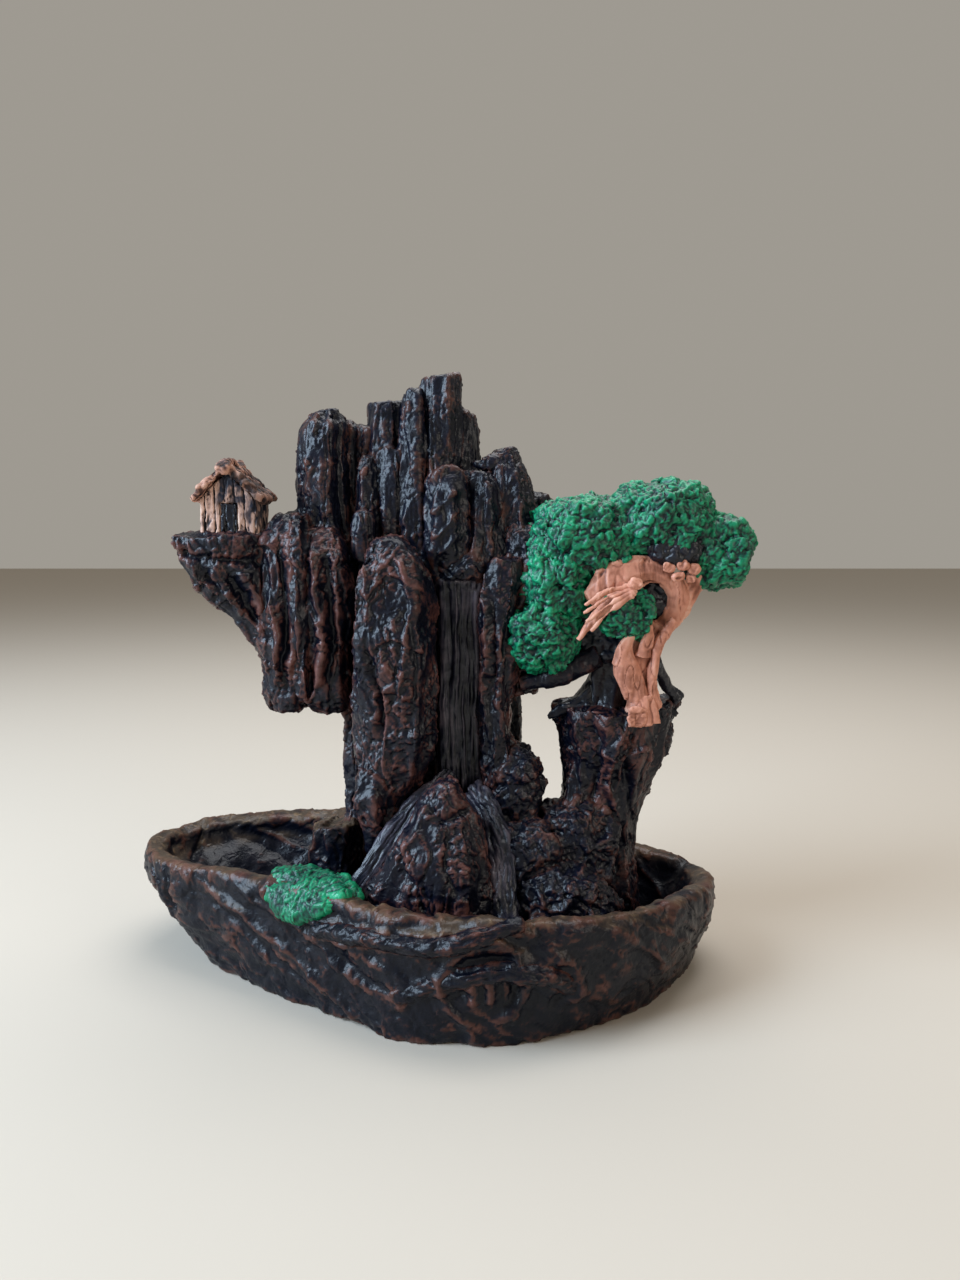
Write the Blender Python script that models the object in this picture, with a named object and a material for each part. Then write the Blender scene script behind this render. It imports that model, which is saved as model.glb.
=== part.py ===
"""Hand-modelled clay landscape: a rock cliff with a waterfall, a hut on a ledge and a small
tree on a pedestal, all standing in a pinched clay basin.

Every lump, slab and strand of clay is its own solid. The clay pieces are pressed together,
so each one is hollowed where it meets the pieces made before it, and a thin seam stays open.
Lengths in the tables are millimetres. +Z is up, the front is towards -Y, and the origin is
the middle of the object's outline on the surface that it stands on.
"""

import math

import bmesh
import bpy
from mathutils import Matrix, Vector, noise

MM = 0.001
SEAM = 0.4  # open seam between two pressed pieces

# Basin: the height of its floor, the thickness of its rim, and the points round its outline.
FLOOR_Z = 12.0
WALL = 9.0
BASIN_STEPS = 44

# Hut: the gabled block, its roof and its door.
LEDGE_TOP_Z = 155.5
HUT_X, HUT_Y = -73.2, 7.0
HUT_WIDTH, HUT_DEPTH = 19.4, 18.0
HUT_WALL, HUT_RISE = 12.0, 9.2
ROOF_THICK, ROOF_OVERHANG = 2.2, 2.0
DOOR_WIDTH, DOOR_HEIGHT, DOOR_THICK = 5.6, 10.5, 1.2

CLAY = ((0.030, 0.019, 0.016), 0.38)
CLAY_RED = ((0.060, 0.026, 0.019), 0.40)
CLAY_BLACK = ((0.012, 0.013, 0.018), 0.30)
LEAF = ((0.010, 0.160, 0.062), 0.42)
BARK = ((0.520, 0.230, 0.135), 0.55)
PLASTER = ((0.600, 0.400, 0.290), 0.65)
THATCH = ((0.420, 0.220, 0.150), 0.70)

pieces = []
forms = []  # the full form of each piece, before it was hollowed, as a cutter


# ---- curves -------------------------------------------------------------------------------


def smooth(points, count, closed=False):
    """count points along a Catmull-Rom curve through points of any number of coordinates."""
    spans = len(points) if closed else len(points) - 1
    steps = count if closed else count - 1
    made = []
    for i in range(count):
        at = i * spans / steps
        k = min(int(at), spans - 1)
        t = at - k
        if closed:
            picked = [points[(k + j) % len(points)] for j in (-1, 0, 1, 2)]
        else:
            picked = [points[max(0, min(spans, k + j))] for j in (-1, 0, 1, 2)]
        a, b, c, d = (Vector(p) for p in picked)
        made.append(
            0.5 * (2 * b + (c - a) * t + (2 * a - 5 * b + 4 * c - d) * t**2 + (3 * b - a - 3 * c + d) * t**3)
        )
    return made


# ---- pressing one piece against another ---------------------------------------------------


def corners(obj):
    """Lowest and highest corner of a piece whose mesh is already in world space."""
    found = [v.co for v in obj.data.vertices]
    return [tuple(pick(p[k] for p in found) for k in range(3)) for pick in (min, max)]


def boxes_meet(a, b):
    (a_low, a_high), (b_low, b_high) = corners(a), corners(b)
    return all(a_low[k] < b_high[k] and b_low[k] < a_high[k] for k in range(3))


def swollen(obj):
    """A cutter in the shape of a piece, one seam larger all over."""
    mesh = obj.data.copy()
    for vertex, normal in [(v, v.normal.copy()) for v in mesh.vertices]:
        vertex.co += normal * SEAM * MM
    cutter = bpy.data.objects.new("cutter", mesh)
    cutter.hide_render = True
    bpy.context.collection.objects.link(cutter)
    return cutter


def keep_largest_body(mesh):
    """Drops the crumbs that a cut leaves beside the piece."""
    bm = bmesh.new()
    bm.from_mesh(mesh)
    left, bodies = set(bm.faces), []
    while left:
        body, front = set(), [next(iter(left))]
        while front:
            face = front.pop()
            if face in left:
                left.discard(face)
                body.add(face)
                front += [f for edge in face.edges for f in edge.link_faces if f in left]
        bodies.append(body)
    bodies.sort(key=lambda body: sum(face.calc_area() for face in body))
    crumbs = [face for body in bodies[:-1] for face in body]
    bmesh.ops.delete(bm, geom=crumbs, context="FACES")
    bm.to_mesh(mesh)
    bm.free()


def press(obj):
    """Hollows a new piece where it is pressed on the full forms of earlier pieces."""
    own_form = swollen(obj)
    for form in forms:
        if boxes_meet(form, obj):
            cut = obj.modifiers.new("pressed_on", "BOOLEAN")
            cut.operation = "DIFFERENCE"
            cut.object = form
    bpy.context.view_layer.update()
    graph = bpy.context.evaluated_depsgraph_get()
    mesh = bpy.data.meshes.new_from_object(obj.evaluated_get(graph))
    obj.modifiers.clear()
    obj.data = mesh
    keep_largest_body(mesh)
    pieces.append(obj)
    forms.append(own_form)


def paint(obj, finish):
    colour, roughness = finish
    material = bpy.data.materials.new(obj.name)
    material.use_nodes = True
    shader = material.node_tree.nodes["Principled BSDF"]
    shader.inputs["Base Color"].default_value = (*colour, 1)
    shader.inputs["Roughness"].default_value = roughness
    shader.inputs["Metallic"].default_value = 0.0
    obj.data.materials.clear()
    obj.data.materials.append(material)


def add_piece(name, bm, finish, round_form=True):
    """Turns a mesh in millimetres into a named clay piece, pressed on its neighbours."""
    bmesh.ops.scale(bm, vec=(MM, MM, MM), verts=bm.verts)
    bmesh.ops.triangulate(bm, faces=bm.faces)
    bmesh.ops.recalc_face_normals(bm, faces=bm.faces)
    mesh = bpy.data.meshes.new(name)
    bm.to_mesh(mesh)
    bm.free()
    obj = bpy.data.objects.new(name, mesh)
    bpy.context.collection.objects.link(obj)
    press(obj)
    if round_form:
        obj.data.shade_smooth()
        obj.data.set_sharp_from_angle(angle=math.radians(35))
    paint(obj, finish)
    return obj


def loft(rings):
    """A closed skin over rings with the same number of points, capped at both ends."""
    bm = bmesh.new()
    rows = [[bm.verts.new(p) for p in ring] for ring in rings]
    count = len(rows[0])
    for low, high in zip(rows, rows[1:]):
        for i in range(count):
            j = (i + 1) % count
            bm.faces.new((low[i], low[j], high[j], high[i]))
    bm.faces.new(rows[0][::-1])
    bm.faces.new(rows[-1])
    return bm


# ---- the kinds of clay lump ---------------------------------------------------------------


def rock(name, levels, finish=CLAY, sides=9, slant=0.0, chips=0.15, square=3.0):
    """A cleft rock slab. Each level is (x, y, z, half width, half depth), from foot to head.
    Its corners run up the slab in wavering lines, as fractured stone does. slant is how much
    the head rises from its middle to its right side."""
    phase = sum(ord(letter) for letter in name)
    made = []
    for x, y, z, half_width, half_depth in smooth(levels, 2 * len(levels) - 1):
        ring = []
        for i in range(sides):
            turn = math.tau * (i + 0.5) / sides
            c, s = math.cos(turn), math.sin(turn)
            reach = (abs(c) ** square + abs(s) ** square) ** (-1 / square)
            corner = noise.noise((i * 3.7, phase * 0.61, z / 26))
            reach *= 1 + 2 * chips * corner
            ring.append((x + half_width * c * reach, y + half_depth * s * reach, z))
        made.append(ring)
    made[-1] = [(x, y, z + slant * (x - levels[-1][0]) / levels[-1][3]) for x, y, z in made[-1]]
    return add_piece(name, loft(made), finish)


def boulder(name, middle, half_sizes, finish=CLAY, bumps=0.12, turn_z=0.0, tip_x=0.0):
    """A rounded lump, a little squarer than an egg, pushed about by thumb."""
    bm = bmesh.new()
    bmesh.ops.create_icosphere(bm, subdivisions=3, radius=1.0)
    phase = Vector((len(name) * 1.3, sum(ord(letter) for letter in name) * 0.17, 0))
    for vertex in bm.verts:
        push = sum(abs(a) ** 2.5 for a in vertex.co) ** (-1 / 2.5)
        push *= 1 + bumps * noise.noise(vertex.co * 1.9 + phase)
        vertex.co = Vector(a * b * push for a, b in zip(vertex.co, half_sizes))
    turn = Matrix.Rotation(math.radians(turn_z), 4, "Z") @ Matrix.Rotation(math.radians(tip_x), 4, "X")
    bm.transform(Matrix.Translation(middle) @ turn)
    return add_piece(name, bm, finish)


def strand(name, route, finish, sides=8, rings=12, flat=1.0):
    """A rolled strand of clay. Each point of the route is (x, y, z, radius). flat is how thick
    the strand is from front to back, as a share of its width."""
    path = smooth(route, rings)
    made = []
    for k, point in enumerate(path):
        before, after = path[max(0, k - 1)], path[min(rings - 1, k + 1)]
        along = (after.xyz - before.xyz).normalized()
        across = along.cross(Vector((0, 1, 0))).normalized()
        outward = across.cross(along)
        ring = []
        for i in range(sides):
            turn = math.tau * i / sides
            spread = across * math.cos(turn) + outward * math.sin(turn) * flat
            ring.append(point.xyz + spread * point.w)
        made.append(ring)
    return add_piece(name, loft(made), finish)


# ---- basin --------------------------------------------------------------------------------

# Stations round the basin, anticlockwise from the right end: the rim's outer edge (x, y),
# the foot's edge (x, y), and the height of the rim there.
BASIN_STATIONS = (
    ((100, -5), (91, 0), 31),
    ((97, 20), (84, 18), 31),
    ((79, 36), (66, 29), 32),
    ((42, 52), (38, 40), 34),
    ((0, 60), (2, 46), 35),
    ((-42, 63), (-36, 48), 37),
    ((-78, 62), (-66, 44), 37),
    ((-105, 49), (-84, 32), 37),
    ((-116, 26), (-87, 16), 38),
    ((-109, 3), (-83, -3), 38),
    ((-80, -18), (-65, -20), 39),
    ((-46, -37), (-38, -39), 40),
    ((-14, -57), (-12, -56), 39.5),
    ((22, -63), (20, -60), 39),
    ((54, -56), (48, -50), 38),
    ((82, -34), (74, -30), 35),
)


def inset(outline, distance):
    """The same outline moved inwards by a distance."""
    count, made = len(outline), []
    for i, point in enumerate(outline):
        along = (outline[(i + 1) % count] - outline[i - 1]).normalized()
        made.append(point + Vector((-along.y, along.x)) * distance)
    return made


def make_basin():
    stations = [(*rim, *foot, height) for rim, foot, height in BASIN_STATIONS]
    loop = smooth(stations, BASIN_STEPS, closed=True)
    rim = [Vector(p[0:2]) for p in loop]
    foot = [Vector(p[2:4]) for p in loop]
    height = [p[4] for p in loop]
    hollow = inset(foot, WALL * 0.75)
    # Each ring is (outline, share of the rim's height above the foot, or a fixed z).
    belly = [f.lerp(r, 0.57) for f, r in zip(foot, rim)]
    profile = [
        (foot, lambda h: 0.0),
        (belly, lambda h: h * 0.42),
        (rim, lambda h: h * 0.80),
        (inset(rim, WALL * 0.35), lambda h: h),
        (inset(rim, WALL * 0.90), lambda h: h * 0.97),
        (inset(rim, WALL * 1.30), lambda h: h * 0.80),
        (hollow, lambda h: FLOOR_Z),
    ]
    rings = [[(p.x, p.y, level(h)) for p, h in zip(outline, height)] for outline, level in profile]
    return add_piece("basin", loft(rings), CLAY)


# Strands of clay laid over the outside of the basin's front, like old roots.
FRONT_ROOTS = {
    "front_root_upper": (
        (-40, -42, 29, 2.6), (-22, -54, 32, 3), (-4, -61, 33, 3.2), (14, -64, 36, 3), (27, -61, 39.5, 2.2),
    ),
    "front_root_middle": (
        (-12, -57, 14, 2.4), (2, -61, 21, 2.8), (20, -63.5, 25, 3.2), (36, -61.5, 23, 2.8), (45, -56, 14, 2),
    ),
}


# ---- hut ----------------------------------------------------------------------------------


def box(low, high):
    bm = bmesh.new()
    bmesh.ops.create_cube(bm, size=1)
    low, high = Vector(low), Vector(high)
    for vertex in bm.verts:
        vertex.co = (low + high) / 2 + Vector(a * b for a, b in zip(vertex.co, high - low))
    return bm


def make_hut():
    base_z = LEDGE_TOP_Z + SEAM
    front, back = HUT_Y - HUT_DEPTH / 2, HUT_Y + HUT_DEPTH / 2
    half = HUT_WIDTH / 2
    eave_z, ridge_z = base_z + HUT_WALL, base_z + HUT_WALL + HUT_RISE

    door_left = HUT_X - DOOR_WIDTH / 2
    door = box(
        (door_left, front - 0.3, base_z),
        (door_left + DOOR_WIDTH, front + DOOR_THICK, base_z + DOOR_HEIGHT),
    )
    add_piece("hut_door", door, CLAY_BLACK, round_form=False)

    gable = (
        (HUT_X - half, base_z),
        (HUT_X + half, base_z),
        (HUT_X + half, eave_z),
        (HUT_X, ridge_z),
        (HUT_X - half, eave_z),
    )
    walls = loft([[(x, y, z) for x, z in gable] for y in (front, back)])
    add_piece("hut_walls", walls, PLASTER, round_form=False)

    # Each roof slab lies on one slope of the gable, and hangs over it on three sides.
    slope = Vector((half, -HUT_RISE)).normalized()
    lift = Vector((-slope.y, slope.x)) * ROOF_THICK
    eave_reach = math.hypot(half, HUT_RISE) + ROOF_OVERHANG
    for side, name in ((-1, "hut_roof_left"), (1, "hut_roof_right")):
        top = Vector((0.3, ridge_z + SEAM))
        low = top + slope * eave_reach
        outline = [top, low, low + lift, top + lift + Vector((0.0, 0.4))]
        rings = [
            [(HUT_X + side * p.x, y, p.y) for p in outline]
            for y in (front - ROOF_OVERHANG, HUT_Y, back + ROOF_OVERHANG)
        ]
        add_piece(name, loft(rings), THATCH, round_form=False)

    ridge_top = ridge_z + ROOF_THICK + 0.2
    ridge = [
        (HUT_X - 0.3, front - ROOF_OVERHANG - 1.5, ridge_top - 1.4, 2.1),
        (HUT_X - 0.5, front, ridge_top, 2.5),
        (HUT_X, HUT_Y, ridge_top, 2.2),
        (HUT_X + 0.3, back + ROOF_OVERHANG, ridge_top, 2.2),
    ]
    ridge_roll(ridge)


def ridge_roll(route):
    """The rolled cap along the ridge. It runs from front to back, so its rings stand upright."""
    made = []
    for x, y, z, radius in smooth(route, 7):
        ring = [
            (x + radius * math.cos(turn), y, z + radius * math.sin(turn))
            for turn in (math.tau * i / 8 for i in range(8))
        ]
        made.append(ring)
    add_piece("hut_ridge_roll", loft(made), THATCH)


# ---- rocks --------------------------------------------------------------------------------

GROUND = FLOOR_Z + SEAM

# The mass that the cliff's slabs are pressed on, up to the foot of the crown. Every rock is a
# list of levels from its foot to its head: (x, y, z, half width, half depth).
CORE = (
    (-5, 19, GROUND, 28, 19), (-5, 20, 60, 26, 15), (-5, 20, 95, 27, 13.5), (-7, 20, 118, 39, 14),
)

# The lower rocks, those in front first.
LOWER_ROCKS = {
    "front_mound": (
        (-5, -24, GROUND, 24, 16), (-4.5, -25, 33, 21, 14.5), (-1.5, -26, 42, 18, 13),
        (2.5, -26, 58, 12.5, 11), (3, -25, 69, 7.5, 7), (3, -24, 74.5, 3.5, 3.5),
    ),
    "stepping_rock": (
        (-39, 3, GROUND, 10, 11), (-39, 3, 30, 9.5, 10), (-38.5, 3, 46, 9, 9.5), (-38.5, 3, 51, 8.2, 8.6),
    ),
    "front_pillar": (
        (-18, -5, 59, 8.4, 9), (-16.4, -6, 76, 12.8, 11), (-15.8, -7, 100, 14.4, 12.5),
        (-15.4, -7, 122, 14.8, 12.5), (-15.2, -7, 139, 13.4, 11.5), (-15.6, -7, 149, 9.6, 9),
        (-17, -6, 155, 4, 5),
    ),
    "pillar_foot": (
        (-21.5, -14, 43, 2.4, 3), (-21, -12, 54, 6, 7), (-20.5, -9, 66, 8.4, 10), (-20, -7, 76, 7, 8),
    ),
    "right_buttress": (
        (19.5, 0, 62, 5, 8), (20, 0, 76, 6.6, 10), (20.5, 1, 105, 6.6, 10), (20.5, 1, 133, 7.2, 10),
        (22.5, 2, 147, 5.6, 8),
    ),
    "right_shoulder": (
        (29, 8, 98, 5, 8), (30, 8, 122, 6.4, 10), (29, 8, 148, 6.4, 9), (28, 8, 157, 4, 6),
    ),
    "left_leg": (
        (-30.4, 14, GROUND, 5.6, 12), (-30.4, 14, 60, 4.8, 10), (-30.4, 13, 90, 4.8, 10),
        (-30, 13, 104, 4.6, 9),
    ),
    "hanging_ridge": (
        (-48.4, 3, 98, 2.2, 7), (-48.6, 2, 108, 2.6, 9), (-48.8, 2, 150, 2.6, 9), (-49.2, 5, 163, 1.6, 5),
    ),
    "hanging_rock_outer": (
        (-55.5, 5, 92.5, 4.6, 6), (-55.5, 5, 99, 7.2, 9.5), (-55.8, 5, 128, 8, 11.5),
        (-54.8, 6, 154, 7.4, 11), (-54, 7, 163, 4, 6),
    ),
    "hanging_rock_inner": (
        (-40, 5, 91.5, 5.4, 7), (-40, 5, 98, 8.4, 10), (-40.2, 5, 128, 9.2, 11.5),
        (-40.2, 6, 148, 8.6, 11), (-41, 8, 158, 4.6, 6),
    ),
    "hut_ledge": (
        (-59.5, 8, 112, 4, 7), (-64, 8, 124, 8, 10.5), (-70, 8, 136, 15, 13.5), (-74, 8, 147, 18, 15.5),
        (-76, 8, LEDGE_TOP_Z, 17.6, 15.5),
    ),
    "pedestal": (
        (60, 8, GROUND, 14, 15), (60, 8, 41, 11.6, 13), (59.8, 8, 56, 14.2, 14), (60.4, 8, 70, 16.2, 15),
        (61.4, 8, 82, 17.2, 16), (62, 8, 93.5, 18.4, 17),
    ),
    "pedestal_spur": (
        (75.6, 13, 68, 3, 5), (79, 13, 82, 5.4, 8), (81, 13, 93.5, 7, 8),
    ),
}

# The tall slabs that make the cliff's broken crown. They stand on the core.
CROWN_ROCKS = {
    "crown_tall_front": (
        (0.5, 12, 118.5, 7.6, 6.5), (0.8, 11, 136, 7.8, 7.5), (1.4, 6, 150, 7.4, 9), (1.6, 6, 170, 7, 8),
        (3, 7, 178, 4.6, 5.5),
    ),
    "crown_tall": (
        (0, 16, 118.5, 7.8, 11), (0, 16, 160, 7.6, 11), (-0.2, 16, 203, 7, 10), (0.2, 16, 211.5, 6, 8.5),
    ),
    "crown_tall_left": (
        (-10, 15, 118.5, 6, 11), (-9.8, 15, 160, 5.6, 11), (-9.6, 15, 199, 4.6, 9), (-9, 15, 206.5, 3, 6),
    ),
    "crown_middle_low": (
        (-18, 13, 118.5, 5.4, 9), (-17.6, 13, 160, 5, 8.5), (-17, 13, 180, 4.4, 7), (-17, 13, 186, 3.6, 5.5),
    ),
    "crown_sliver": (
        (-26, 13, 118.5, 5.4, 9), (-25.8, 13, 160, 5, 8.5), (-25.4, 13, 179, 4, 7), (-25, 13, 184, 2.6, 4.5),
    ),
    "crown_middle": (
        (-21, 23, 118.5, 8, 12), (-20.6, 23, 160, 7.6, 12), (-20.8, 23, 196, 7, 11),
        (-20.8, 23, 202.5, 6.4, 10),
    ),
    "crown_far_left": (
        (-41, 17, 118.5, 10, 12), (-42.6, 17, 145, 10.4, 12), (-43, 17, 170, 9.6, 11.5),
        (-43.2, 17, 189, 8.8, 10.5), (-42.2, 17, 195, 7.4, 9), (-41.4, 17, 199.4, 3.6, 5.5),
    ),
    "crown_recess": (
        (-31, 26, 118.5, 12, 11), (-31, 26, 160, 11, 11), (-30.6, 25, 188, 9, 10), (-30.6, 25, 194, 8.4, 9),
    ),
    "crown_right": (
        (15.4, 11, 118.5, 8.4, 11), (15.4, 10, 150, 8, 10.5), (14.2, 11, 170, 6.4, 8.5),
        (13, 11, 178, 4, 5.5),
    ),
    "crown_hooked": (
        (26, 17, 118.5, 9, 12), (26, 17, 155, 8, 11.5), (24.4, 17, 171, 7.4, 10), (23.4, 17, 180, 6.6, 8.5),
        (23, 17, 186, 3.6, 5.5),
    ),
    "crown_tall_right": (
        (9, 22, 118.5, 6, 10), (8.8, 22, 160, 5.4, 10), (8, 21, 193, 4, 8.5), (8, 21, 199.5, 2.8, 6),
    ),
    "crown_far_right": (
        (31, 25, 118.5, 8, 10), (31.4, 25, 145, 7.4, 10), (33.4, 25, 164, 6, 8.5), (34.4, 25, 170, 4.4, 6.5),
    ),
}

# The plain back of the cliff.
BACK_ROCKS = {
    "back_slab_left": (
        (-26, 36, GROUND, 10.6, 9), (-26.6, 35, 86, 9.6, 8), (-33, 34, 120, 11.5, 8), (-34, 34, 142, 11.5, 8),
        (-35, 33, 162, 8, 5.5),
    ),
    "back_slab_middle": (
        (-9, 39, GROUND, 14, 9), (-9, 38, 90, 13, 8.5), (-9, 37, 150, 12, 8), (-9, 36, 176, 8, 5.5),
    ),
    "back_slab_right": (
        (17, 36, GROUND, 14, 9), (17, 35, 90, 11.5, 8.5), (17, 34, 130, 12, 8), (17, 33, 156, 7.5, 5.5),
    ),
}

# How far each slanting head rises from its middle to its right side.
SLANTS = {
    "crown_far_left": 0.5, "crown_recess": -3.0, "crown_middle": 0.6, "crown_tall_left": 1.0,
    "crown_tall": 0.8, "crown_hooked": 0.8, "crown_far_right": -1.0, "stepping_rock": 0.8,
}

# The boulders below the saddle: middle, half sizes.
BOULDERS = {
    "boulder_upper": ((27.4, -3, 63), (8.6, 9, 18)),
    "boulder_middle": ((30, -13, 44), (12, 11, 12)),
    "boulder_low": ((40, -17, 25.4), (22, 15.5, 17)),
    "boulder_saddle": ((48, -3, 43), (14, 13, 19)),
}

# Grooved ribbons of water that part round the front mound.
STREAMS = {
    "stream_left": (
        (5, -4, 69, 5), (-4, -12, 63, 5.2), (-14, -18, 53, 5), (-22.5, -23, 43, 4.8), (-31, -26, 31, 4.6),
        (-36.5, -28, 19, 4),
    ),
    "stream_right": (
        (11, -4, 65, 4.4), (17, -12, 60, 4.4), (21.5, -22, 48, 4.4), (22.5, -32, 34, 4.4),
        (23.5, -38, 19, 3.6),
    ),
}


# ---- tree ---------------------------------------------------------------------------------

# Each strand of the tree: finish, thickness as a share of its width, route.
TREE_STRANDS = {
    "trunk": (BARK, 0.9, (
        (72, -2, 94.2, 6), (70.9, -2, 100, 4.9), (68.8, -2, 108, 6), (69, -3, 113, 6.4),
        (72, -3, 119, 5.2), (75.4, -3, 123.5, 3.8),
    )),
    "branch_arch": (BARK, 0.6, (
        (76.6, -4, 121, 3.4), (81.6, -4, 128, 3.2), (83, -5, 135, 3.4), (79.4, -6, 141, 3.8),
        (72, -7, 143.6, 4.6), (64, -8, 141.4, 6), (57, -9, 138, 5), (51.4, -10, 134, 2.6),
    )),
    "branch_right": (BARK, 1.0, (
        (80, -1, 124, 3), (86, -2, 133, 3.2), (90, -2, 141, 3.2), (93, -1, 147, 2.8),
    )),
    "twig": (BARK, 1.0, (
        (65, -13, 138, 1.8), (57, -13.5, 131.5, 1.6), (51.5, -13.5, 126, 1.3), (47.8, -13, 119.8, 0.9),
    )),
    "side_root": (CLAY_BLACK, 1.0, (
        (86, 8, 95, 2.6), (82, 6, 100.5, 2.4), (78, 3, 107.5, 2.6), (75, 1, 114, 2.6),
    )),
}

CANOPY_ARM = (
    (32, 8, 110, 6), (37, 8, 124, 8), (46, 8, 141, 9.5), (59, 8, 153, 10), (76, 8, 155, 10),
    (91, 8, 150, 9), (101, 8, 144, 6),
)

# Lumps of leaves: middle, half sizes.
LEAF_PADS = {
    "leaves_top": ((78, 4, 161), (18.5, 17, 14)),
    "leaves_upper_left": ((50, 3, 154.5), (18, 16.5, 14)),
    "leaves_right": ((97.6, 4, 149.5), (12.4, 14, 13)),
    "leaves_lower_left": ((36, 0, 120), (12.6, 13, 13)),
    "leaves_middle_left": ((41, 2, 139), (13, 14, 16)),
    "leaves_centre": ((64.5, -8, 129), (9, 6.4, 8.6)),
}

TREE_ROCKS = {
    "root_flare": (
        (53.5, 6, 94.2, 11.5, 9), (57, 6, 98, 8, 8), (60, 6, 106, 5.6, 7), (62, 6, 113, 7, 7),
    ),
    "canopy_core": (
        (60, 5, 111, 9, 6), (60.5, 5, 122, 14.5, 7), (63, 5, 134, 17, 7), (69, 5, 145, 16, 6.5),
        (75, 5, 151, 14, 6),
    ),
}


# ---- the whole object ---------------------------------------------------------------------


def make_rocks(table, **style):
    for name, levels in table.items():
        rock(name, levels, slant=SLANTS.get(name, 0.0), **style)


def make_waterfall():
    flow = ((7, 5, 60, 7.8, 6), (7, 5, 100, 7.8, 6), (7, 5, 139, 7.8, 6))
    rock("waterfall", flow, CLAY_BLACK, sides=12, chips=0.03, square=6.0)
    lip = ((5.8, 1, 139.6, 5.6, 4.6), (8, 1, 144, 5.6, 4), (10, 2, 149, 2.6, 2.4))
    rock("waterfall_lip", lip)


def make_streams():
    for name, route in STREAMS.items():
        strand(name, route, CLAY_BLACK, flat=0.5)


def make_tree():
    for name, (middle, half_sizes) in LEAF_PADS.items():
        boulder(name, middle, half_sizes, LEAF, bumps=0.16)
    for name, (finish, flat, route) in TREE_STRANDS.items():
        strand(name, route, finish, flat=flat)
    for name, levels in TREE_ROCKS.items():
        rock(name, levels, CLAY_BLACK)
    strand("canopy_arm", CANOPY_ARM, CLAY_BLACK)


def put_on_origin():
    """Slides everything so that the middle of the outline is over the origin, and drops the cutters."""
    boxes = [corners(piece) for piece in pieces]
    low = [min(box_low[k] for box_low, _ in boxes) for k in (0, 1)]
    high = [max(box_high[k] for _, box_high in boxes) for k in (0, 1)]
    slide = Matrix.Translation((-(low[0] + high[0]) / 2, -(low[1] + high[1]) / 2, 0))
    for piece in pieces:
        piece.data.transform(slide)
    for form in forms:
        bpy.data.objects.remove(form)


def make_object():
    for obj in list(bpy.data.objects):
        bpy.data.objects.remove(obj)
    make_basin()
    rock("cliff_core", CORE, sides=12)
    boulder("moss_patch", (-42, -32, 36.5), (18, 8.5, 6), LEAF, bumps=0.2, turn_z=-30, tip_x=35)
    for name, route in FRONT_ROOTS.items():
        strand(name, route, CLAY_RED)
    make_rocks(LOWER_ROCKS, square=4.0)
    make_hut()
    make_waterfall()
    for name, (middle, half_sizes) in BOULDERS.items():
        boulder(name, middle, half_sizes)
    make_streams()
    make_rocks(CROWN_ROCKS, sides=8, square=5.0)
    make_tree()
    make_rocks(BACK_ROCKS, square=4.0)
    put_on_origin()


make_object()
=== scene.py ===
"""Looks of a hand-modelled clay landscape: a columned cliff with a waterfall, a painted hut on a
ledge and a small tree on a pedestal, standing in an oval pinched basin.

Every CAD node is replaced by a sculpted copy of itself. The copy is remeshed finely, swollen a
little so that the seams between pressed pieces close, and then modelled by functions that push
its points along their normals, the way a thumb and a modelling tool would. Lengths inside the
sculpting functions are millimetres; the frame is in metres.
"""

import math

import bmesh
import bpy
import numpy as np
from mathutils import Matrix, Vector
from mathutils.bvhtree import BVHTree


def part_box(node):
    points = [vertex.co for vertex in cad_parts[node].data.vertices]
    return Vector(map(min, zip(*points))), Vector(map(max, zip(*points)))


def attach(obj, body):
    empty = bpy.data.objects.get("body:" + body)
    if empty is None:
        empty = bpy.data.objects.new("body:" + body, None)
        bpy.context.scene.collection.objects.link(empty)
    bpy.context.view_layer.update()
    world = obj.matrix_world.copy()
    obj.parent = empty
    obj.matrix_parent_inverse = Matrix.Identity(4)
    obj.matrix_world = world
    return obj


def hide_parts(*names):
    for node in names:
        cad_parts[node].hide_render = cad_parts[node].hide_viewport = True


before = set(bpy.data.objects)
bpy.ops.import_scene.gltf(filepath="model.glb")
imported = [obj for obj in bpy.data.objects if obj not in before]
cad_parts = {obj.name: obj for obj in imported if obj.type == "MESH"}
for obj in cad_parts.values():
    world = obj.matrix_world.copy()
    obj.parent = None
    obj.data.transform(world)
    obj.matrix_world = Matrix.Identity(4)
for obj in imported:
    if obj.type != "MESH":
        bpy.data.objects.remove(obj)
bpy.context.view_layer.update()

MM = 0.001

# How far a sculpted copy swells past its CAD node, in mm. WELD comes on top near a neighbour, and
# closes the open seam between the two. The rocks beside the waterfall are sunk to leave it room.
SWELL = 0.15
SUNK = -0.6
WELD = 1.1
WELD_REACH = 1.4
SEAM_SEARCH = 3.0
NO_SEAM = 9.0  # stands for any distance beyond SEAM_SEARCH

# Voxel sizes of the remeshed copies, in mm.
BASIN_VOXEL = 0.92
VOXEL = 0.55
LEAF_VOXEL = 0.45
FINE_VOXEL = 0.4
DETAIL_VOXEL = 0.35
HUT_VOXEL = 0.3

STRAND_SIDES = 14
PLANK_WIDTH = 3.4
BOWL_RADIUS = 90  # turns an angle round the basin into mm along its wall
RIM_SECTORS = 40  # the rim's height is read in each of these

# Floor, light and camera: metres and degrees, and mm for the lens and the sensor.
FLOOR_REACH = 3.0
FLOOR_DROP = 0.0002  # keeps the floor clear of the basin's foot
WORLD_STRENGTH = 0.37
CAMERA_AT = (0.0171, -0.3362, 0.160)
CAMERA_PITCH = 7.0
CAMERA_LENS = 27.03
CAMERA_SENSOR = 36.0
CAMERA_NEAR = 0.01


# ---- noise over arrays of points ----------------------------------------------------------

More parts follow.
